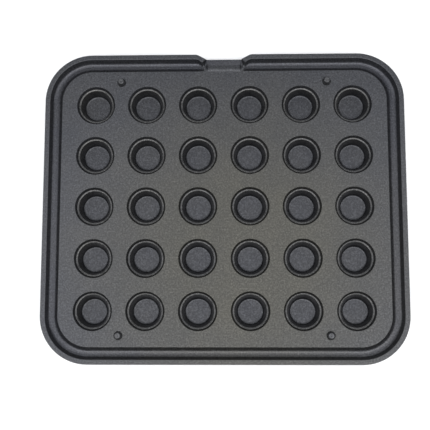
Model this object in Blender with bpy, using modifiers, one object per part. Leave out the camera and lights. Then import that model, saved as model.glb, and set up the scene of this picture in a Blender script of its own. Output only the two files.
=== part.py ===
"""Removable 30-cup cooking plate of a bench-top mini donut and tartlet maker.

A cast plate with a raised flange, an overflow groove and a flat panel carries thirty tapered cups and
four conical spacer studs. Each cup is a piece of its own: its flange drops into a counterbored seat in
the panel and its bowl hangs through the hole. The far edge has a notch that clears the machine's hinge.

Metres, +Z up. The origin is on the surface that the cups stand on, below the middle of the plate, and
+Y points to the notched far edge.
"""

import math

import bmesh
import bpy
from mathutils import Vector

# ---- Driving dimensions -------------------------------------------------------------------------------

CUP_COLUMNS = 6
CUP_ROWS = 5
CUP_PITCH = 0.050

CUP_DEPTH = 0.0138
CUP_FLOOR_THICKNESS = 0.0020
CUP_FLOOR_RADIUS = 0.0123
CUP_WALL_TOP_RADIUS = 0.0153
CUP_FLANGE_RADIUS = 0.0173
CUP_WALL = 0.0009
CUP_FLANGE_DROP = 0.0022
CUP_LEDGE_DROP = 0.0008
CUP_FLANGE_THICKNESS = 0.0012

PANEL_TOP = CUP_DEPTH + CUP_FLOOR_THICKNESS
PANEL_THICKNESS = 0.0050
FIT_GAP = 0.0003
MOUTH_RADIUS = 0.0187
MOUTH_DEPTH = 0.0023

PLATE_HALF_X = 0.1743
PLATE_HALF_Y = 0.1498
CORNER_RADIUS = 0.0457
FLANGE_WIDTH = 0.0047
FLANGE_RISE = 0.0030
FLANGE_THICKNESS = 0.0024
EDGE_CHAMFER = 0.0006
LIP_OVERHANG = 0.0025
GROOVE_DEPTH = 0.0035
GROOVE_FLOOR_THICKNESS = 0.0025
GROOVE_OUTER_FOOT = 0.0072
GROOVE_INNER_FOOT = 0.0131
PANEL_EDGE_INSET = 0.0162
UNDERSIDE_OUTER = 0.0047
UNDERSIDE_INNER = 0.0152
PANEL_UNDERSIDE_INSET = 0.0180

NOTCH_DEPTH = 0.0030
NOTCH_TURN_X = 0.0262
NOTCH_STRIP_END_X = 0.0175
NOTCH_BAR_END_X = 0.0162
NOTCH_RIDGE_RISE = 0.0005

STUD_X = 0.1002
STUD_Y = 0.1228
STUD_HEIGHT = 0.0050
STUD_BASE_RADIUS = 0.0041
STUD_TOP_RADIUS = 0.0026
STUD_SHANK_RADIUS = 0.0025
STUD_SINK = 0.0003

ROUND_SEGMENTS = 20
STUD_SEGMENTS = 16
CORNER_SEGMENTS = 6
MERGE_DISTANCE = 0.00001


# ---- Small helpers ------------------------------------------------------------------------------------

def clear_scene():
    for scene_object in list(bpy.data.objects):
        bpy.data.objects.remove(scene_object, do_unlink=True)


def new_collection(name):
    collection = bpy.data.collections.new(name)
    bpy.context.scene.collection.children.link(collection)
    return collection


def coated_metal(name, colour, roughness, metallic):
    material = bpy.data.materials.new(name)
    material.use_nodes = True
    shader = material.node_tree.nodes["Principled BSDF"]
    shader.inputs["Base Color"].default_value = (*colour, 1.0)
    shader.inputs["Roughness"].default_value = roughness
    shader.inputs["Metallic"].default_value = metallic
    return material


def mesh_object(name, mesh, collection):
    new_object = bpy.data.objects.new(name, mesh)
    collection.objects.link(new_object)
    return new_object


def profile_mesh(name, points):
    """An open chain of edges in the XZ plane, from (radius, height) pairs."""
    mesh = bpy.data.meshes.new(name)
    vertices = [(radius, 0.0, height) for radius, height in points]
    edges = [(i, i + 1) for i in range(len(points) - 1)]
    mesh.from_pydata(vertices, edges, [])
    return mesh


def turn(target, segments):
    """Turns the object's profile about its own Z axis into a closed body."""
    screw = target.modifiers.new("turn", "SCREW")
    screw.axis = "Z"
    screw.angle = math.tau
    screw.steps = segments
    screw.render_steps = segments
    screw.use_merge_vertices = True
    screw.merge_threshold = MERGE_DISTANCE
    screw.use_smooth_shade = True


# ---- Plate --------------------------------------------------------------------------------------------

RIM_DEPTH = GROOVE_DEPTH + GROOVE_FLOOR_THICKNESS

# The rim's corners, as (inset from the outer edge, height above the panel). They run from the panel's
# edge down into the groove, up its outer wall, over the flange, round the lip and back underneath.
RIM_SECTION = [
    (PANEL_EDGE_INSET, 0.0),
    (GROOVE_INNER_FOOT, -GROOVE_DEPTH),
    (GROOVE_OUTER_FOOT, -GROOVE_DEPTH),
    (FLANGE_WIDTH, FLANGE_RISE),
    (0.0, FLANGE_RISE),
    (0.0, FLANGE_RISE - FLANGE_THICKNESS),
    (LIP_OVERHANG, FLANGE_RISE - FLANGE_THICKNESS),
    (UNDERSIDE_OUTER, -RIM_DEPTH),
    (UNDERSIDE_INNER, -RIM_DEPTH),
    (PANEL_UNDERSIDE_INSET, -PANEL_THICKNESS),
]
TOP_EDGE_CORNER = 4

# The same corners at five places along the right half of the notch, as (x, inset, height).
# Where the flange turns into the notch:
NOTCH_TURN = [
    (0.0212, PANEL_EDGE_INSET, 0.0),
    (0.0228, GROOVE_INNER_FOOT, -GROOVE_DEPTH),
    (0.0240, 0.0074, -GROOVE_DEPTH),
    (0.0258, FLANGE_WIDTH, FLANGE_RISE),
    (NOTCH_TURN_X, 0.0, FLANGE_RISE),
    (NOTCH_TURN_X, 0.0, FLANGE_RISE - FLANGE_THICKNESS),
    (0.0256, LIP_OVERHANG, FLANGE_RISE - FLANGE_THICKNESS),
    (0.0246, UNDERSIDE_OUTER, -RIM_DEPTH),
    (0.0226, UNDERSIDE_INNER, -RIM_DEPTH),
    (0.0218, PANEL_UNDERSIDE_INSET, -PANEL_THICKNESS),
]
# Where the slanted strip of flange ends and the groove has risen to a shallow ramp:
NOTCH_STRIP_END = [
    (0.0188, PANEL_EDGE_INSET, 0.0),
    (0.0192, 0.0138, -0.0010),
    (0.0202, 0.0106, -0.0015),
    (0.0210, 0.0079, FLANGE_RISE),
    (NOTCH_STRIP_END_X, 0.0047, FLANGE_RISE),
    (NOTCH_STRIP_END_X, 0.0047, FLANGE_RISE - FLANGE_THICKNESS),
    (0.0192, 0.0065, FLANGE_RISE - FLANGE_THICKNESS),
    (0.0204, 0.0084, -RIM_DEPTH),
    (0.0196, UNDERSIDE_INNER, -RIM_DEPTH),
    (0.0192, PANEL_UNDERSIDE_INSET, -PANEL_THICKNESS),
]
# At the foot of the strip's end wall, on the ramp:
NOTCH_STRIP_FOOT = [
    (0.0178, PANEL_EDGE_INSET, 0.0),
    (0.0181, 0.0142, -0.0007),
    (0.0186, 0.0120, -0.0016),
    (0.0189, 0.0096, -0.0022),
    (0.0169, 0.0034, -0.0034),
    (0.0170, 0.0034, -0.0046),
    (0.0182, 0.0059, -0.0058),
    (0.0187, 0.0080, -RIM_DEPTH),
    (0.0183, UNDERSIDE_INNER, -RIM_DEPTH),
    (0.0181, PANEL_UNDERSIDE_INSET, -PANEL_THICKNESS),
]
# At the foot of the sloping bar's end:
NOTCH_BAR_FOOT = [
    (0.0168, PANEL_EDGE_INSET, 0.0),
    (0.0169, 0.0148, -0.0002),
    (0.0170, 0.0128, -0.0010),
    (0.0172, 0.0098, -0.0023),
    (0.0166, 0.0031, -0.0040),
    (0.0166, 0.0031, -0.0052),
    (0.0172, 0.0054, -0.0059),
    (0.0173, 0.0074, -RIM_DEPTH),
    (0.0171, UNDERSIDE_INNER, -RIM_DEPTH),
    (0.0170, PANEL_UNDERSIDE_INSET, -PANEL_THICKNESS),
]
# The end of the sloping bar that crosses the middle of the notch, with a ridge along the panel:
NOTCH_BAR = [
    (0.0158, PANEL_EDGE_INSET, 0.0),
    (0.0156, 0.0152, 0.0002),
    (0.0155, 0.0140, NOTCH_RIDGE_RISE),
    (0.0158, 0.0098, -0.0019),
    (NOTCH_BAR_END_X, NOTCH_DEPTH, -0.0041),
    (NOTCH_BAR_END_X, NOTCH_DEPTH, -0.0053),
    (0.0160, 0.0052, -0.0059),
    (0.0159, 0.0072, -RIM_DEPTH),
    (0.0158, UNDERSIDE_INNER, -RIM_DEPTH),
    (0.0158, PANEL_UNDERSIDE_INSET, -PANEL_THICKNESS),
]


def chamfered(corners):
    """The corners with the flange's top outer edge replaced by a small chamfer."""
    before = Vector(corners[TOP_EDGE_CORNER - 1])
    edge = Vector(corners[TOP_EDGE_CORNER])
    after = Vector(corners[TOP_EDGE_CORNER + 1])
    points = [Vector(corner) for corner in corners]
    points[TOP_EDGE_CORNER:TOP_EDGE_CORNER + 1] = [
        edge + (before - edge).normalized() * EDGE_CHAMFER,
        edge + (after - edge).normalized() * EDGE_CHAMFER,
    ]
    return points


def corner_stations(sign_x, sign_y, start_angle):
    """Rim sections fanned round one corner; every inset line is an arc about the same centre."""
    centre_x = sign_x * (PLATE_HALF_X - CORNER_RADIUS)
    centre_y = sign_y * (PLATE_HALF_Y - CORNER_RADIUS)
    stations = []
    for step in range(CORNER_SEGMENTS + 1):
        angle = start_angle + step * math.pi / 2 / CORNER_SEGMENTS
        station = []
        for inset, height in chamfered(RIM_SECTION):
            radius = CORNER_RADIUS - inset
            x = centre_x + radius * math.cos(angle)
            y = centre_y + radius * math.sin(angle)
            station.append((x, y, PANEL_TOP + height))
        stations.append(station)
    return stations


def notch_stations():
    """The right half of the notch, from the full rim to the low bar."""
    stations = []
    for corners in (NOTCH_TURN, NOTCH_STRIP_END, NOTCH_STRIP_FOOT, NOTCH_BAR_FOOT, NOTCH_BAR):
        station = []
        for x, inset, height in chamfered(corners):
            station.append((x, PLATE_HALF_Y - inset, PANEL_TOP + height))
        stations.append(station)
    return stations


def plate_stations():
    """All rim sections in order, counterclockwise from the right-hand end of the near right corner."""
    right_notch = notch_stations()
    left_notch = [[(-x, y, z) for x, y, z in station] for station in reversed(right_notch)]
    stations = corner_stations(1, 1, 0.0)
    stations += right_notch
    stations += left_notch
    stations += corner_stations(-1, 1, math.pi / 2)
    stations += corner_stations(-1, -1, math.pi)
    stations += corner_stations(1, -1, math.pi * 1.5)
    return stations


def plate_mesh():
    """Lofts the rim sections round the plate and closes the panel above and below."""
    mesh = bpy.data.meshes.new("tray_plate")
    bm = bmesh.new()
    rings = []
    for station in plate_stations():
        rings.append([bm.verts.new(point) for point in station])
    for index, ring in enumerate(rings):
        following = rings[(index + 1) % len(rings)]
        for low in range(len(ring) - 1):
            bm.faces.new((ring[low], ring[low + 1], following[low + 1], following[low]))
    bm.faces.new([ring[0] for ring in rings])
    bm.faces.new([ring[-1] for ring in rings])
    bmesh.ops.recalc_face_normals(bm, faces=bm.faces[:])
    bm.to_mesh(mesh)
    bm.free()
    return mesh


def cup_centres():
    for row in range(CUP_ROWS):
        for column in range(CUP_COLUMNS):
            x = (column - (CUP_COLUMNS - 1) / 2) * CUP_PITCH
            y = (row - (CUP_ROWS - 1) / 2) * CUP_PITCH
            yield row + 1, column + 1, x, y


def seat_profile():
    """The counterbored seat of one cup, as a cutter: flared mouth, seat, through hole."""
    seat_radius = CUP_FLANGE_RADIUS + FIT_GAP
    hole_radius = CUP_WALL_TOP_RADIUS + CUP_WALL + FIT_GAP
    seat_z = PANEL_TOP - CUP_FLANGE_DROP - CUP_FLANGE_THICKNESS - FIT_GAP
    above = 0.0010
    flare = (MOUTH_RADIUS - seat_radius) / MOUTH_DEPTH
    return [
        (0.0, PANEL_TOP + above),
        (MOUTH_RADIUS + flare * above, PANEL_TOP + above),
        (seat_radius, PANEL_TOP - MOUTH_DEPTH),
        (seat_radius, seat_z),
        (hole_radius, seat_z),
        (hole_radius, PANEL_TOP - PANEL_THICKNESS - above),
        (0.0, PANEL_TOP - PANEL_THICKNESS - above),
    ]


def stud_hole_profile():
    """The stud's shallow recess and its hole, as a cutter."""
    above = 0.0010
    return [
        (0.0, PANEL_TOP + above),
        (STUD_BASE_RADIUS + FIT_GAP, PANEL_TOP + above),
        (STUD_BASE_RADIUS + FIT_GAP, PANEL_TOP - STUD_SINK - FIT_GAP),
        (STUD_SHANK_RADIUS + FIT_GAP, PANEL_TOP - STUD_SINK - FIT_GAP),
        (STUD_SHANK_RADIUS + FIT_GAP, PANEL_TOP - PANEL_THICKNESS - above),
        (0.0, PANEL_TOP - PANEL_THICKNESS - above),
    ]


def add_cutter(name, profile, segments, x, y, cutters):
    cutter = mesh_object(name, profile, cutters)
    cutter.location = (x, y, 0.0)
    cutter.hide_render = True
    cutter.display_type = "WIRE"
    turn(cutter, segments)
    return cutter


def build_plate(parts, cutters, root):
    plate = mesh_object("tray_plate", plate_mesh(), parts)
    plate.parent = root
    plate.data.materials.append(coated_metal("plate_coating", (0.095, 0.096, 0.102), 0.42, 0.55))

    holes = []
    seat = profile_mesh("seat_cutter", seat_profile())
    for row, column, x, y in cup_centres():
        holes.append(add_cutter(f"seat_cutter_r{row}_c{column}", seat, ROUND_SEGMENTS, x, y, cutters))
    stud_hole = profile_mesh("stud_cutter", stud_hole_profile())
    for name, x, y in stud_places():
        holes.append(add_cutter(f"cutter_{name}", stud_hole, STUD_SEGMENTS, x, y, cutters))

    for hole in holes:
        cut = plate.modifiers.new(hole.name, "BOOLEAN")
        cut.operation = "DIFFERENCE"
        cut.solver = "EXACT"
        cut.object = hole


# ---- Cups ---------------------------------------------------------------------------------------------

def cup_profile():
    """One cup, from the middle of its floor up the inside, over the flange and down the outside."""
    floor_z = CUP_FLOOR_THICKNESS
    flange_top_z = PANEL_TOP - CUP_FLANGE_DROP
    flange_under_z = flange_top_z - CUP_FLANGE_THICKNESS
    draft = (CUP_WALL_TOP_RADIUS - CUP_FLOOR_RADIUS) / (CUP_DEPTH - CUP_FLANGE_DROP - CUP_LEDGE_DROP)
    bottom_edge = 0.0010
    outer_top_radius = CUP_WALL_TOP_RADIUS + CUP_WALL
    outer_foot_radius = outer_top_radius - draft * (flange_under_z - bottom_edge)
    return [
        (0.0, floor_z),
        (CUP_FLOOR_RADIUS, floor_z),
        (CUP_WALL_TOP_RADIUS, flange_top_z - CUP_LEDGE_DROP),
        (CUP_FLANGE_RADIUS, flange_top_z),
        (CUP_FLANGE_RADIUS, flange_under_z),
        (outer_top_radius, flange_under_z),
        (outer_foot_radius, bottom_edge),
        (outer_foot_radius - bottom_edge, 0.0),
        (0.0, 0.0),
    ]


def build_cups(parts, root):
    cup_mesh = profile_mesh("cup", cup_profile())
    cup_mesh.materials.append(coated_metal("cup_coating", (0.070, 0.072, 0.080), 0.38, 0.55))
    for row, column, x, y in cup_centres():
        cup = mesh_object(f"cup_r{row}_c{column}", cup_mesh, parts)
        cup.location = (x, y, 0.0)
        cup.parent = root
        turn(cup, ROUND_SEGMENTS)


# ---- Studs --------------------------------------------------------------------------------------------

def stud_places():
    for depth_name, sign_y in (("front", -1), ("rear", 1)):
        for side_name, sign_x in (("left", -1), ("right", 1)):
            yield f"spacer_stud_{depth_name}_{side_name}", sign_x * STUD_X, sign_y * STUD_Y


def stud_profile():
    """A conical head with a chamfered top, and a shank that fills the hole in the panel."""
    top_chamfer = 0.0004
    head_under_z = PANEL_TOP - STUD_SINK
    shank_end_z = PANEL_TOP - PANEL_THICKNESS + FIT_GAP
    return [
        (0.0, PANEL_TOP + STUD_HEIGHT),
        (STUD_TOP_RADIUS - top_chamfer, PANEL_TOP + STUD_HEIGHT),
        (STUD_TOP_RADIUS, PANEL_TOP + STUD_HEIGHT - top_chamfer),
        (STUD_BASE_RADIUS, head_under_z),
        (STUD_SHANK_RADIUS, head_under_z),
        (STUD_SHANK_RADIUS, shank_end_z),
        (0.0, shank_end_z),
    ]


def build_studs(parts, root):
    stud_mesh = profile_mesh("spacer_stud", stud_profile())
    stud_mesh.materials.append(coated_metal("stud_coating", (0.100, 0.102, 0.110), 0.35, 0.60))
    for name, x, y in stud_places():
        stud = mesh_object(name, stud_mesh, parts)
        stud.location = (x, y, 0.0)
        stud.parent = root
        turn(stud, STUD_SEGMENTS)


# ---- Assembly -----------------------------------------------------------------------------------------

def main():
    clear_scene()
    parts = new_collection("cup_plate")
    cutters = new_collection("cutters")
    root = bpy.data.objects.new("cup_plate_origin", None)
    parts.objects.link(root)
    build_plate(parts, cutters, root)
    build_cups(parts, root)
    build_studs(parts, root)


main()
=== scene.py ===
"""The looks of a removable 30-cup cooking plate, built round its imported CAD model.

Fine meshes of the cast plate, the thirty cups and the four studs stand for the faceted solids. They share
one family of procedural materials: a satin, faintly speckled non-stick coating.
"""

import math

import bmesh
import bpy
from mathutils import Matrix, Vector


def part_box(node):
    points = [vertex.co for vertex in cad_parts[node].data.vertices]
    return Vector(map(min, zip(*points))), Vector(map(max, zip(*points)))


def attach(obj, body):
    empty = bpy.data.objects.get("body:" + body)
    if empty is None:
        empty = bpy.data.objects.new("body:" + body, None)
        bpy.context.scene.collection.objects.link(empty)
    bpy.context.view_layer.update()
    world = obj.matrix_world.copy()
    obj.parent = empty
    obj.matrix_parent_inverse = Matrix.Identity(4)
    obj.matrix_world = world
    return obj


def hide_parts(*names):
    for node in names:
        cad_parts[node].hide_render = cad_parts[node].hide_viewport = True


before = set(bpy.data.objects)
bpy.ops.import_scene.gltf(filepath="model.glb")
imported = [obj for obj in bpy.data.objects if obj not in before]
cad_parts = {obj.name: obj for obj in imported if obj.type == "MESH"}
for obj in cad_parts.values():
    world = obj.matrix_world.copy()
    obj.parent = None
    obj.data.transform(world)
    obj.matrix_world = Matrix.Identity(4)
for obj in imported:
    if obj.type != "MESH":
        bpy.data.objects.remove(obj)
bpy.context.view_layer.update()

MM = 0.001

# ---- Design sizes, as in the CAD model ----------------------------------------------------------------

CORNER_RADIUS = 45.7 * MM
FLANGE_WIDTH = 4.7 * MM
FLANGE_RISE = 3.0 * MM
FLANGE_THICKNESS = 2.4 * MM
LIP_OVERHANG = 2.5 * MM
GROOVE_DEPTH = 3.5 * MM
GROOVE_OUTER_FOOT = 7.2 * MM
GROOVE_INNER_FOOT = 13.1 * MM
PANEL_EDGE_INSET = 16.2 * MM
PANEL_THICKNESS = 5.0 * MM
UNDERSIDE_OUTER = 4.7 * MM
UNDERSIDE_INNER = 15.2 * MM
PANEL_UNDERSIDE_INSET = 18.0 * MM

NOTCH_DEPTH = 3.0 * MM
NOTCH_TURN_X = 26.2 * MM
NOTCH_STRIP_END_X = 17.5 * MM
NOTCH_BAR_END_X = 16.2 * MM
NOTCH_RIDGE_RISE = 0.5 * MM

MOUTH_RADIUS = 18.7 * MM
CUP_FLOOR_THICKNESS = 2.0 * MM
CUP_FLOOR_RADIUS = 12.3 * MM
CUP_WALL_TOP_RADIUS = 15.3 * MM
CUP_WALL = 0.9 * MM
CUP_LEDGE_DROP = 0.8 * MM
CUP_FLANGE_THICKNESS = 1.2 * MM

STUD_TOP_RADIUS = 2.6 * MM
STUD_SHANK_RADIUS = 2.5 * MM
STUD_SINK = 0.3 * MM
STUD_END_GAP = 0.3 * MM

# ---- Fits and small details that differ from the CAD model's ------------------------------------------

FLANGE_TRIM = 0.2 * MM
SEAT_GAP = 0.15 * MM
SEAT_DROP = 0.1 * MM
MOUTH_DEPTH = 2.5 * MM
HOLE_RADIUS = 16.6 * MM
STUD_GAP = 0.1 * MM
STUD_RECESS = 0.35 * MM
STUD_DISH = 0.25 * MM

# ---- Sizes taken from the frame -----------------------------------------------------------------------

plate_low, plate_high = (Vector(corner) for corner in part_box("tray_plate"))
cup_low, cup_high = (Vector(corner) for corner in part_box("cup_r1_c1"))
stud_low, stud_high = (Vector(corner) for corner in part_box("spacer_stud_front_left"))

PLATE_HALF_X = plate_high.x
PLATE_HALF_Y = plate_high.y
PANEL_TOP = plate_high.z - FLANGE_RISE
PLATE_UNDERSIDE = plate_low.z - PANEL_TOP
PANEL_UNDERSIDE_Z = PANEL_TOP - PANEL_THICKNESS
CUP_FLANGE_RADIUS = (cup_high.x - cup_low.x) / 2 - FLANGE_TRIM
CUP_FLANGE_TOP = cup_high.z
STUD_BASE_RADIUS = (stud_high.x - stud_low.x) / 2
STUD_TOP = stud_high.z

# ---- Light, floor and camera --------------------------------------------------------------------------

WHITE = (1.0, 1.0, 1.0)
WARM_WHITE = (1.0, 0.99, 0.97)
SKY_WHITE = (0.93, 0.96, 1.0, 1.0)
WORLD_STRENGTH = 0.69

# Each softbox is its name, its tilt toward the near edge and turn toward +X in degrees, its distance, width
# and height in metres, its power in watts and its colour.
SOFTBOXES = [
    ("key", 27.6, 2.0, 2.0, 2.62, 0.56, 24.8, WARM_WHITE),
    ("overhead", -0.4, 0.0, 2.2, 2.11, 1.35, 14.2, WHITE),
    ("back", -49.7, 0.0, 2.0, 2.6, 0.69, 6.9, WHITE),
    ("side_left", 2.4, -48.9, 2.0, 1.0, 1.6, 9.1, WHITE),
    ("side_right", 2.4, 48.9, 2.0, 1.0, 1.6, 9.1, WHITE),
]

# Half the floor's width, and how far the floor lies below the cups' bottoms.
FLOOR_HALF = 12.0
FLOOR_DROP = 0.1 * MM

CAMERA_PLACE = Vector((11.51 * MM, -104.24 * MM, PANEL_TOP + 756.73 * MM))
CAMERA_AIM = Vector((-8.58 * MM, -8.45 * MM, PANEL_TOP))
CAMERA_LENS = 66.66
CAMERA_SENSOR = 36.0

# ---- Mesh fineness ------------------------------------------------------------------------------------

ROUND_SEGMENTS = 64
STUD_SEGMENTS = 40
CORNER_SEGMENTS = 18
ARC_STEPS = 4
# How far a support point stands off a rounding, and how wide the flat ring round a hole is.
SUPPORT = 0.12 * MM
FILL_RING = 0.5 * MM


# ---- Paths with rounded corners -----------------------------------------------------------------------

def rounded_path(points, cuts, steps=ARC_STEPS):
    """The path through the points, with each inner corner rounded.

    A corner's cut is how far from it the rounding starts. Every corner gives the same number of points,
    with one more just outside each end of its rounding, so that flat stretches shade flat.
    """
    points = [Vector(point) for point in points]
    path = [points[0]]
    for index in range(1, len(points) - 1):
        corner = points[index]
        before = points[index - 1] - corner
        after = points[index + 1] - corner
        hold = min(SUPPORT, before.length * 0.04, after.length * 0.04)
        start = corner + before.normalized() * min(cuts[index - 1], before.length * 0.45)
        end = corner + after.normalized() * min(cuts[index - 1], after.length * 0.45)
        path.append(start + before.normalized() * hold)
        for step in range(steps + 1):
            t = step / steps
            path.append(start * (1 - t) ** 2 + corner * 2 * t * (1 - t) + end * t ** 2)
        path.append(end + after.normalized() * hold)
    path.append(points[-1])
    return path


def new_object(name, data):
    """An object for a mesh, light or camera, linked to the scene."""
    piece = bpy.data.objects.new(name, data)
    bpy.context.scene.collection.objects.link(piece)
    return piece


def mesh_from(bm, name):
    """Closes the working mesh into a smooth-shaded mesh with its faces pointing out."""
    bmesh.ops.recalc_face_normals(bm, faces=bm.faces[:])
    for face in bm.faces:
        face.smooth = True
    mesh = bpy.data.meshes.new(name)
    bm.to_mesh(mesh)
    bm.free()
    return mesh


def bridge(bm, ring, following, closed=True):
    """Quads between two rows of vertices of the same length."""
    count = len(ring)
    for index in range(count if closed else count - 1):
        after = (index + 1) % count
        bm.faces.new((ring[index], ring[after], following[after], following[index]))


def turned_rings(bm, profile, segments, centre=(0.0, 0.0)):
    """One ring of vertices for each (radius, height) of the profile."""
    rings = []
    for radius, height in profile:
        ring = []
        for step in range(segments):
            angle = math.tau * step / segments
            x = centre[0] + radius * math.cos(angle)
            y = centre[1] + radius * math.sin(angle)
            ring.append(bm.verts.new((x, y, height)))
        rings.append(ring)
    return rings


def turned_mesh(name, corners, cuts, segments, centre):
    """A closed turned body. Its profile starts and ends on the axis."""
    profile = rounded_path([(radius, height, 0.0) for radius, height in corners], cuts)
    bm = bmesh.new()
    rings = turned_rings(bm, [(point.x, point.y) for point in profile[1:-1]], segments, centre)
    for ring, following in zip(rings, rings[1:]):
        bridge(bm, ring, following)
    for end, ring in ((profile[0], rings[0]), (profile[-1], rings[-1])):
        hub = bm.verts.new((centre[0], centre[1], end.y))
        for index in range(segments):
            bm.faces.new((hub, ring[index], ring[(index + 1) % segments]))
    return mesh_from(bm, name)


# ---- Plate --------------------------------------------------------------------------------------------

FLANGE_UNDERSIDE = FLANGE_RISE - FLANGE_THICKNESS
SUPPORT_STRIP = 2.0 * MM

# How far from each of the rim's corners its rounding starts.
TOP_CUTS = [0.4 * MM, 2.8 * MM, 2.7 * MM, 0.45 * MM, 0.6 * MM]
UNDERSIDE_CUTS = [0.5 * MM, 0.7 * MM, 0.9 * MM, 0.9 * MM, 0.8 * MM]
RIM_CUTS = TOP_CUTS + UNDERSIDE_CUTS

# The rim's corners, as (inset from the outer edge, height above the panel). They run from the panel's
# edge down into the groove, up its outer wall, over the flange, round the lip and back underneath.
RIM_SECTION = [
    (PANEL_EDGE_INSET, 0.0),
    (GROOVE_INNER_FOOT, -GROOVE_DEPTH),
    (GROOVE_OUTER_FOOT, -GROOVE_DEPTH),
    (FLANGE_WIDTH, FLANGE_RISE),
    (0.0, FLANGE_RISE),
    (0.0, FLANGE_UNDERSIDE),
    (LIP_OVERHANG, FLANGE_UNDERSIDE),
    (UNDERSIDE_OUTER, PLATE_UNDERSIDE),
    (UNDERSIDE_INNER, PLATE_UNDERSIDE),
    (PANEL_UNDERSIDE_INSET, -PANEL_THICKNESS),
]

# The same corners at five places along the right half of the notch, as (x, inset, height).
# Where the flange turns into the notch:
NOTCH_TURN = [
    (21.2 * MM, PANEL_EDGE_INSET, 0.0),
    (22.8 * MM, GROOVE_INNER_FOOT, -GROOVE_DEPTH),
    (24.0 * MM, 7.4 * MM, -GROOVE_DEPTH),
    (25.8 * MM, FLANGE_WIDTH, FLANGE_RISE),
    (NOTCH_TURN_X, 0.0, FLANGE_RISE),
    (NOTCH_TURN_X, 0.0, FLANGE_UNDERSIDE),
    (25.6 * MM, LIP_OVERHANG, FLANGE_UNDERSIDE),
    (24.6 * MM, UNDERSIDE_OUTER, PLATE_UNDERSIDE),
    (22.6 * MM, UNDERSIDE_INNER, PLATE_UNDERSIDE),
    (21.8 * MM, PANEL_UNDERSIDE_INSET, -PANEL_THICKNESS),
]
# Where the slanted strip of flange ends and the groove has risen to a shallow ramp:
NOTCH_STRIP_END = [
    (18.8 * MM, PANEL_EDGE_INSET, 0.0),
    (19.2 * MM, 13.8 * MM, -1.0 * MM),
    (20.2 * MM, 10.6 * MM, -1.5 * MM),
    (21.0 * MM, 7.9 * MM, FLANGE_RISE),
    (NOTCH_STRIP_END_X, 4.7 * MM, FLANGE_RISE),
    (NOTCH_STRIP_END_X, 4.7 * MM, FLANGE_UNDERSIDE),
    (19.2 * MM, 6.5 * MM, FLANGE_UNDERSIDE),
    (20.4 * MM, 8.4 * MM, PLATE_UNDERSIDE),
    (19.6 * MM, UNDERSIDE_INNER, PLATE_UNDERSIDE),
    (19.2 * MM, PANEL_UNDERSIDE_INSET, -PANEL_THICKNESS),
]
# At the foot of the strip's end wall, on the ramp:
NOTCH_STRIP_FOOT = [
    (17.8 * MM, PANEL_EDGE_INSET, 0.0),
    (18.1 * MM, 14.2 * MM, -0.7 * MM),
    (18.6 * MM, 12.0 * MM, -1.6 * MM),
    (18.9 * MM, 9.6 * MM, -2.2 * MM),
    (16.9 * MM, 3.4 * MM, -3.4 * MM),
    (17.0 * MM, 3.4 * MM, -4.6 * MM),
    (18.2 * MM, 5.9 * MM, -5.8 * MM),
    (18.7 * MM, 8.0 * MM, PLATE_UNDERSIDE),
    (18.3 * MM, UNDERSIDE_INNER, PLATE_UNDERSIDE),
    (18.1 * MM, PANEL_UNDERSIDE_INSET, -PANEL_THICKNESS),
]
# At the foot of the sloping bar's end:
NOTCH_BAR_FOOT = [
    (16.8 * MM, PANEL_EDGE_INSET, 0.0),
    (16.9 * MM, 14.8 * MM, -0.2 * MM),
    (17.0 * MM, 12.8 * MM, -1.0 * MM),
    (17.2 * MM, 9.8 * MM, -2.3 * MM),
    (16.6 * MM, 3.1 * MM, -4.0 * MM),
    (16.6 * MM, 3.1 * MM, -5.2 * MM),
    (17.2 * MM, 5.4 * MM, -5.9 * MM),
    (17.3 * MM, 7.4 * MM, PLATE_UNDERSIDE),
    (17.1 * MM, UNDERSIDE_INNER, PLATE_UNDERSIDE),
    (17.0 * MM, PANEL_UNDERSIDE_INSET, -PANEL_THICKNESS),
]
# The end of the sloping bar that crosses the middle of the notch, with a ridge along the panel:
NOTCH_BAR = [
    (15.8 * MM, PANEL_EDGE_INSET, 0.0),
    (15.6 * MM, 15.2 * MM, 0.2 * MM),
    (15.5 * MM, 14.0 * MM, NOTCH_RIDGE_RISE),
    (15.8 * MM, 9.8 * MM, -1.9 * MM),
    (NOTCH_BAR_END_X, NOTCH_DEPTH, -4.1 * MM),
    (NOTCH_BAR_END_X, NOTCH_DEPTH, -5.3 * MM),
    (16.0 * MM, 5.2 * MM, -5.9 * MM),
    (15.9 * MM, 7.2 * MM, PLATE_UNDERSIDE),
    (15.8 * MM, UNDERSIDE_INNER, PLATE_UNDERSIDE),
    (15.8 * MM, PANEL_UNDERSIDE_INSET, -PANEL_THICKNESS),
]

# How far along the edge each place's rounding starts, and where the straight edge ends.
NOTCH_CUTS = [1.8 * MM, 0.3 * MM, 0.4 * MM, 0.4 * MM, 0.4 * MM]
NOTCH_START_X = 34.0 * MM


def rounded_section(corners):
    """A rim section with its corners rounded and a flat support strip at each end."""
    points = [Vector(corner) for corner in corners]
    inward = Vector((0.0, -SUPPORT_STRIP, 0.0)) if len(corners[0]) == 3 else Vector((SUPPORT_STRIP, 0.0))
    points = [points[0] + inward] + points + [points[-1] + inward]
    return rounded_path(points, RIM_CUTS)


def corner_stations(sign_x, sign_y, start_angle):
    """Rim sections fanned round one corner; every inset line is an arc about the same centre."""
    centre_x = sign_x * (PLATE_HALF_X - CORNER_RADIUS)
    centre_y = sign_y * (PLATE_HALF_Y - CORNER_RADIUS)
    stations = []
    for step in range(CORNER_SEGMENTS + 1):
        angle = start_angle + step * math.pi / 2 / CORNER_SEGMENTS
        station = []
        for inset, height in rounded_section(RIM_SECTION):
            radius = CORNER_RADIUS - inset
            x = centre_x + radius * math.cos(angle)
            y = centre_y + radius * math.sin(angle)
            station.append(Vector((x, y, height)))
        stations.append(station)
    return stations


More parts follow.
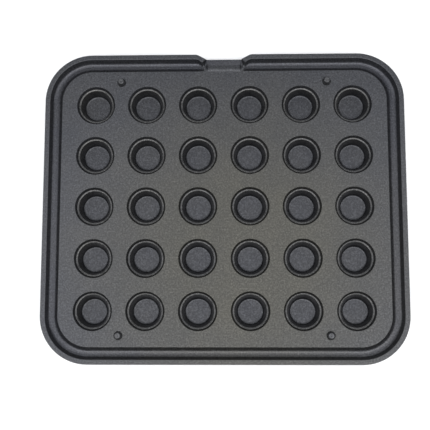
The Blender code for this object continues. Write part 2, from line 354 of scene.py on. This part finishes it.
def notch_stations():
    """The far edge between its straight runs, from +X to -X, with every line rounded along its length."""
    straight = [(NOTCH_START_X, inset, height) for inset, height in RIM_SECTION]
    right = [straight, NOTCH_TURN, NOTCH_STRIP_END, NOTCH_STRIP_FOOT, NOTCH_BAR_FOOT, NOTCH_BAR]
    left = [[(-x, inset, height) for x, inset, height in corners] for corners in reversed(right)]
    sections = []
    for corners in right + left:
        placed = [(x, PLATE_HALF_Y - inset, height) for x, inset, height in corners]
        sections.append(rounded_section(placed))
    lines = [rounded_path(line, NOTCH_CUTS + NOTCH_CUTS[::-1]) for line in zip(*sections)]
    return [list(station) for station in zip(*lines)]


def plate_stations():
    """The rim sections all the way round the plate, anticlockwise from the +X side."""
    stations = corner_stations(1, 1, 0.0)
    stations += notch_stations()
    stations += corner_stations(-1, 1, math.pi / 2)
    stations += corner_stations(-1, -1, math.pi)
    stations += corner_stations(1, -1, math.pi * 1.5)
    return stations


def centres(prefix):
    """The names and middles of the nodes whose names start with the prefix, read from the frame."""
    for node in sorted(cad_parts):
        if node.startswith(prefix):
            low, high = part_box(node)
            yield node, ((low[0] + high[0]) / 2, (low[1] + high[1]) / 2)


def seat_wall():
    """The wall of a cup's seat and hole, from the panel's top to its underside, and its roundings."""
    seat_radius = CUP_FLANGE_RADIUS + SEAT_GAP
    seat_z = CUP_FLANGE_TOP - CUP_FLANGE_THICKNESS - SEAT_DROP
    corners = [
        (MOUTH_RADIUS + FILL_RING, PANEL_TOP),
        (MOUTH_RADIUS, PANEL_TOP),
        (seat_radius, PANEL_TOP - MOUTH_DEPTH),
        (seat_radius, seat_z),
        (HOLE_RADIUS, seat_z),
        (HOLE_RADIUS, PANEL_UNDERSIDE_Z),
        (HOLE_RADIUS + 0.7 * MM, PANEL_UNDERSIDE_Z),
    ]
    return corners, [0.12 * MM, 0.3 * MM, 0.2 * MM, 0.2 * MM, 0.4 * MM]


def stud_hole_wall():
    """The wall of a stud's hole, from the panel's top to its underside, and its roundings."""
    recess_radius = STUD_BASE_RADIUS + STUD_GAP
    hole_radius = STUD_SHANK_RADIUS + STUD_GAP
    corners = [
        (STUD_BASE_RADIUS + FILL_RING, PANEL_TOP),
        (recess_radius, PANEL_TOP),
        (recess_radius, PANEL_TOP - STUD_RECESS),
        (hole_radius, PANEL_TOP - STUD_RECESS),
        (hole_radius, PANEL_UNDERSIDE_Z),
        (hole_radius + FILL_RING, PANEL_UNDERSIDE_Z),
    ]
    return corners, [0.12 * MM, 0.08 * MM, 0.08 * MM, 0.2 * MM]


def ring_edges(bm, ring):
    """The edges round a ring of vertices, with any that are missing added."""
    edges = []
    for index, vertex in enumerate(ring):
        following = ring[(index + 1) % len(ring)]
        edges.append(bm.edges.get((vertex, following)) or bm.edges.new((vertex, following)))
    return edges


def build_plate(material):
    """The rim lofted round the outline, with the panel filled above and below between the holes' walls."""
    bm = bmesh.new()
    rows = []
    for station in plate_stations():
        rows.append([bm.verts.new(point + Vector((0.0, 0.0, PANEL_TOP))) for point in station])
    for index, row in enumerate(rows):
        bridge(bm, row, rows[(index + 1) % len(rows)], closed=False)
    top_edges = ring_edges(bm, [row[0] for row in rows])
    under_edges = ring_edges(bm, [row[-1] for row in rows])

    walls = [(seat_wall(), ROUND_SEGMENTS, centre) for _, centre in centres("cup_")]
    walls += [(stud_hole_wall(), STUD_SEGMENTS, centre) for _, centre in centres("spacer_stud_")]
    for (corners, cuts), segments, centre in walls:
        path = rounded_path([(radius, height, 0.0) for radius, height in corners], cuts)
        rings = turned_rings(bm, [(point.x, point.y) for point in path], segments, centre)
        for ring, following in zip(rings, rings[1:]):
            bridge(bm, ring, following)
        top_edges += ring_edges(bm, rings[0])
        under_edges += ring_edges(bm, rings[-1])

    for edges in (top_edges, under_edges):
        bmesh.ops.triangle_fill(bm, use_beauty=True, use_dissolve=False, edges=edges, normal=(0, 0, 1))
    plate = new_object("plate_body", mesh_from(bm, "plate_body"))
    plate.data.materials.append(material)
    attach(plate, "root")
    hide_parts("tray_plate")


# ---- Cups and studs -----------------------------------------------------------------------------------

def build_cup(node, centre, material):
    """A cup with a filleted floor, a sloping ledge and a thin flange that sits in the plate's seat."""
    flange_under = CUP_FLANGE_TOP - CUP_FLANGE_THICKNESS
    wall_top = CUP_FLANGE_TOP - CUP_LEDGE_DROP
    draft = (CUP_WALL_TOP_RADIUS - CUP_FLOOR_RADIUS) / (wall_top - CUP_FLOOR_THICKNESS)
    outer_top = CUP_WALL_TOP_RADIUS + CUP_WALL
    outer_foot = outer_top - draft * flange_under
    corners = [
        (0.0, CUP_FLOOR_THICKNESS),
        (CUP_FLOOR_RADIUS, CUP_FLOOR_THICKNESS),
        (CUP_WALL_TOP_RADIUS, wall_top),
        (CUP_FLANGE_RADIUS, CUP_FLANGE_TOP),
        (CUP_FLANGE_RADIUS, flange_under),
        (outer_top, flange_under),
        (outer_foot, 0.0),
        (0.0, 0.0),
    ]
    cuts = [1.5 * MM, 0.4 * MM, 1.0 * MM, 0.2 * MM, 0.2 * MM, 1.1 * MM]
    mesh = turned_mesh(node, corners, cuts, ROUND_SEGMENTS, centre)
    cup = new_object(node.replace("cup_", "bowl_"), mesh)
    cup.data.materials.append(material)
    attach(cup, "root")
    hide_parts(node)


def build_stud(node, centre, material):
    """A conical stud with a rounded, slightly dished top, set in its hole."""
    head_under = PANEL_TOP - STUD_SINK
    shank_end = PANEL_UNDERSIDE_Z + STUD_END_GAP
    corners = [
        (0.0, STUD_TOP - STUD_DISH),
        (0.7 * MM, STUD_TOP - STUD_DISH),
        (1.0 * MM, STUD_TOP),
        (STUD_TOP_RADIUS, STUD_TOP),
        (STUD_BASE_RADIUS, head_under),
        (STUD_SHANK_RADIUS, head_under),
        (STUD_SHANK_RADIUS, shank_end),
        (0.0, shank_end),
    ]
    cuts = [0.15 * MM, 0.15 * MM, 0.5 * MM, 0.1 * MM, 0.1 * MM, 0.3 * MM]
    name = node.replace("spacer_", "") + "_head"
    stud = new_object(name, turned_mesh(node, corners, cuts, STUD_SEGMENTS, centre))
    stud.data.materials.append(material)
    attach(stud, "root")
    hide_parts(node)


# ---- Materials ----------------------------------------------------------------------------------------

PLAIN = (1.0, 1.0, 1.0)
PLATE_TONE = (0.0590, 0.0577, 0.0522)
CUP_TONE = (0.0410, 0.0420, 0.0468)
STUD_TONE = (0.0660, 0.0670, 0.0710)
CLOUD_SHADES = ((0.93, 0.94, 0.96), (1.07, 1.06, 1.03))
METALLIC = 0.8

# Noise scales, in blotches to the metre.
CLOUD_SCALE = 32.0
GRAIN_SCALE = 640.0
PEEL_SCALE = 1100.0
FLECK_SCALE = 2600.0

# How much the pebbles darken and lighten the tone for each unit of contrast, and the flecks' brightness.
PEBBLE_DARK = 0.45
PEBBLE_LIGHT = 2.1
FLECK_LIGHT = 2.2

PEEL_STRENGTH = 0.45
PEEL_HEIGHT = 0.03 * MM
# The spot from which the plate's painted cool reflection grows toward its edges.
PAINTED_REFLECTION_MIDDLE = (20.0 * MM, -45.0 * MM, PANEL_TOP)


def add_node(tree, kind, **settings):
    """A shader node, with each setting given to its property or its input of that name."""
    node = tree.nodes.new(kind)
    for name, value in settings.items():
        if hasattr(node, name):
            setattr(node, name, value)
        else:
            node.inputs[name.replace("_", " ").title()].default_value = value
    return node


def map_range(tree, source, from_low, from_high, to_low, to_high):
    """The source value, clamped and mapped from one range to another."""
    mapped = add_node(tree, "ShaderNodeMapRange")
    mapped.inputs["From Min"].default_value = from_low
    mapped.inputs["From Max"].default_value = from_high
    mapped.inputs["To Min"].default_value = to_low
    mapped.inputs["To Max"].default_value = to_high
    tree.links.new(source, mapped.inputs["Value"])
    return mapped.outputs["Result"]


def noise(tree, place, scale, detail, roughness):
    """A noise value over the object, with about `scale` blotches to the metre."""
    texture = add_node(tree, "ShaderNodeTexNoise", Scale=scale, Detail=detail, Roughness=roughness)
    tree.links.new(place, texture.inputs["Vector"])
    return texture.outputs["Fac"]


def blend(tree, kind, factor, first, second):
    """Mixes two colours, each a socket or an RGB triple."""
    mix = add_node(tree, "ShaderNodeMix", data_type="RGBA", blend_type=kind)
    for socket, value in ((mix.inputs[0], factor), (mix.inputs[6], first), (mix.inputs[7], second)):
        if isinstance(value, bpy.types.NodeSocket):
            tree.links.new(value, socket)
        elif isinstance(value, tuple):
            socket.default_value = (*value, 1.0)
        else:
            socket.default_value = value
    return mix.outputs[2]


def distance_out(tree, place):
    """How far a point is from a spot a little in front of the middle of the panel."""
    distance = add_node(tree, "ShaderNodeVectorMath", operation="DISTANCE")
    distance.inputs[1].default_value = PAINTED_REFLECTION_MIDDLE
    tree.links.new(place, distance.inputs[0])
    return distance.outputs["Value"]


def height_up(tree, place):
    """How high a point is above the surface that the object stands on."""
    parts = add_node(tree, "ShaderNodeSeparateXYZ")
    tree.links.new(place, parts.inputs[0])
    return parts.outputs["Z"]


# Painted light, not the coating's own colour. The plate gets a painted cool reflection, darker and bluer
# toward its edges:
PAINTED_COOL_REFLECTION = (distance_out, 0.06, 0.19, PLAIN, (0.900, 0.942, 1.155))
# Painted shade, darker and a little bluer down in the plate's groove:
GROOVE_PAINTED_SHADE = (height_up, PANEL_TOP - 3.2 * MM, PANEL_TOP - 0.8 * MM, (0.86, 0.86, 0.90), PLAIN)
# Painted light on the cups: lighter and warmer toward the top, which leaves their lower part in painted
# shade:
CUP_PAINTED_LIGHT_TOP = (height_up, 3.0 * MM, 9.0 * MM, PLAIN, (1.360, 1.325, 1.200))


def coating(name, base, drifts, contrast, roughness):
    """A sprayed satin coating on cast metal.

    Each drift is painted light or shade: it multiplies the base tone by a colour that changes as the
    measured distance goes from its start to its end. Cloudy blotches, a pebbled texture of the given
    contrast and fine bright flecks lie over the tone, and the spray's orange peel raises the surface a
    little.
    """
    material = bpy.data.materials.new(name)
    material.use_nodes = True
    tree = material.node_tree
    shader = tree.nodes["Principled BSDF"]
    shader.inputs["Metallic"].default_value = METALLIC
    place = add_node(tree, "ShaderNodeTexCoord").outputs["Object"]

    clouds = noise(tree, place, CLOUD_SCALE, 4.0, 0.6)
    grain = noise(tree, place, GRAIN_SCALE, 3.0, 0.7)
    flecks = noise(tree, place, FLECK_SCALE, 2.0, 0.6)

    tone = base
    # Painted light and shade: each drift tints the tone with a painted reflection, shade or light.
    for measure, start, end, start_shade, end_shade in drifts:
        drift = map_range(tree, measure(tree, place), start, end, 0.0, 1.0)
        tone = blend(tree, "MULTIPLY", 1.0, tone, blend(tree, "MIX", drift, start_shade, end_shade))
    blotches = map_range(tree, clouds, 0.3, 0.7, 0.0, 1.0)
    shade = blend(tree, "MIX", blotches, *CLOUD_SHADES)
    tone = blend(tree, "MULTIPLY", 1.0, tone, shade)
    pebbles = map_range(tree, grain, 0.46, 0.80, 0.0, 1.0)
    dark = (1.0 - PEBBLE_DARK * contrast,) * 3
    light = (1.0 + PEBBLE_LIGHT * contrast,) * 3
    shade = blend(tree, "MIX", pebbles, dark, light)
    tone = blend(tree, "MULTIPLY", 1.0, tone, shade)
    bright = map_range(tree, flecks, 0.60, 0.74, 0.0, 0.5)
    tone = blend(tree, "MIX", bright, tone, tuple(channel * FLECK_LIGHT for channel in base))
    tree.links.new(tone, shader.inputs["Base Color"])

    satin = map_range(tree, grain, 0.3, 0.7, roughness - 0.05, roughness + 0.05)
    tree.links.new(satin, shader.inputs["Roughness"])

    peel = noise(tree, place, PEEL_SCALE, 3.0, 0.6)
    bump = add_node(tree, "ShaderNodeBump")
    bump.inputs["Strength"].default_value = PEEL_STRENGTH
    bump.inputs["Distance"].default_value = PEEL_HEIGHT
    tree.links.new(peel, bump.inputs["Height"])
    tree.links.new(bump.outputs["Normal"], shader.inputs["Normal"])
    return material


# ---- Floor, light and camera --------------------------------------------------------------------------

def build_floor():
    """A matt white floor, which belongs to the stage and not to the object."""
    bm = bmesh.new()
    bmesh.ops.create_grid(bm, x_segments=8, y_segments=8, size=FLOOR_HALF)
    floor = new_object("floor", mesh_from(bm, "floor"))
    floor.location.z = -FLOOR_DROP
    material = bpy.data.materials.new("floor_paper")
    material.use_nodes = True
    shader = material.node_tree.nodes["Principled BSDF"]
    shader.inputs["Base Color"].default_value = (0.92, 0.92, 0.92, 1.0)
    shader.inputs["Roughness"].default_value = 0.9
    shader.inputs["Specular IOR Level"].default_value = 0.0
    floor.data.materials.append(material)


def softbox(name, place, aim, size, power, colour):
    """A rectangular area light at a place, aimed at a point."""
    light = bpy.data.lights.new(name, "AREA")
    light.shape = "RECTANGLE"
    light.size = size[0]
    light.size_y = size[1]
    light.energy = power
    light.color = colour
    lamp = new_object(name, light)
    lamp.location = place
    lamp.rotation_euler = (Vector(aim) - Vector(place)).to_track_quat("-Z", "Y").to_euler()


def light_place(tilt, turn, distance):
    """A place over the plate, tilted from straight up toward the near edge and turned toward +X."""
    up = distance * math.cos(math.radians(tilt)) * math.cos(math.radians(turn))
    near = distance * math.sin(math.radians(tilt)) * math.cos(math.radians(turn))
    return (distance * math.sin(math.radians(turn)), -near, PANEL_TOP + up)


def build_lights():
    """The softboxes, all aimed at the panel's middle, and a dim even world."""
    middle = (0.0, 0.0, PANEL_TOP)
    for name, tilt, turn, distance, width, height, power, colour in SOFTBOXES:
        softbox(name, light_place(tilt, turn, distance), middle, (width, height), power, colour)
    world = bpy.data.worlds.new("studio")
    bpy.context.scene.world = world
    world.use_nodes = True
    background = world.node_tree.nodes["Background"]
    background.inputs["Color"].default_value = SKY_WHITE
    background.inputs["Strength"].default_value = WORLD_STRENGTH


def build_camera():
    """A camera nearly over the plate, turned so that +Y is up the picture."""
    data = bpy.data.cameras.new("camera")
    data.sensor_width = CAMERA_SENSOR
    data.lens = CAMERA_LENS
    data.clip_start = 0.01
    camera = new_object("camera", data)
    back = (CAMERA_PLACE - CAMERA_AIM).normalized()
    right = Vector((0.0, 1.0, 0.0)).cross(back).normalized()
    up = back.cross(right)
    turned = Matrix((right, up, back)).transposed().to_4x4()
    camera.matrix_world = Matrix.Translation(CAMERA_PLACE) @ turned
    bpy.context.scene.camera = camera


# ---- Assembly -----------------------------------------------------------------------------------------

build_camera()
build_floor()
build_lights()
bpy.context.scene.view_settings.view_transform = "Standard"

# The plate's coating carries a painted cool reflection and painted groove shade, and the cups' carries
# painted light toward the top.
plate_coating = coating("plate_coating", PLATE_TONE, [PAINTED_COOL_REFLECTION, GROOVE_PAINTED_SHADE], 0.43, 0.305)
cup_coating = coating("cup_coating", CUP_TONE, [CUP_PAINTED_LIGHT_TOP], 0.52, 0.305)
stud_coating = coating("stud_coating", STUD_TONE, [], 0.45, 0.32)

build_plate(plate_coating)
for cup_node, cup_centre in centres("cup_"):
    build_cup(cup_node, cup_centre, cup_coating)
for stud_node, stud_centre in centres("spacer_stud_"):
    build_stud(stud_node, stud_centre, stud_coating)
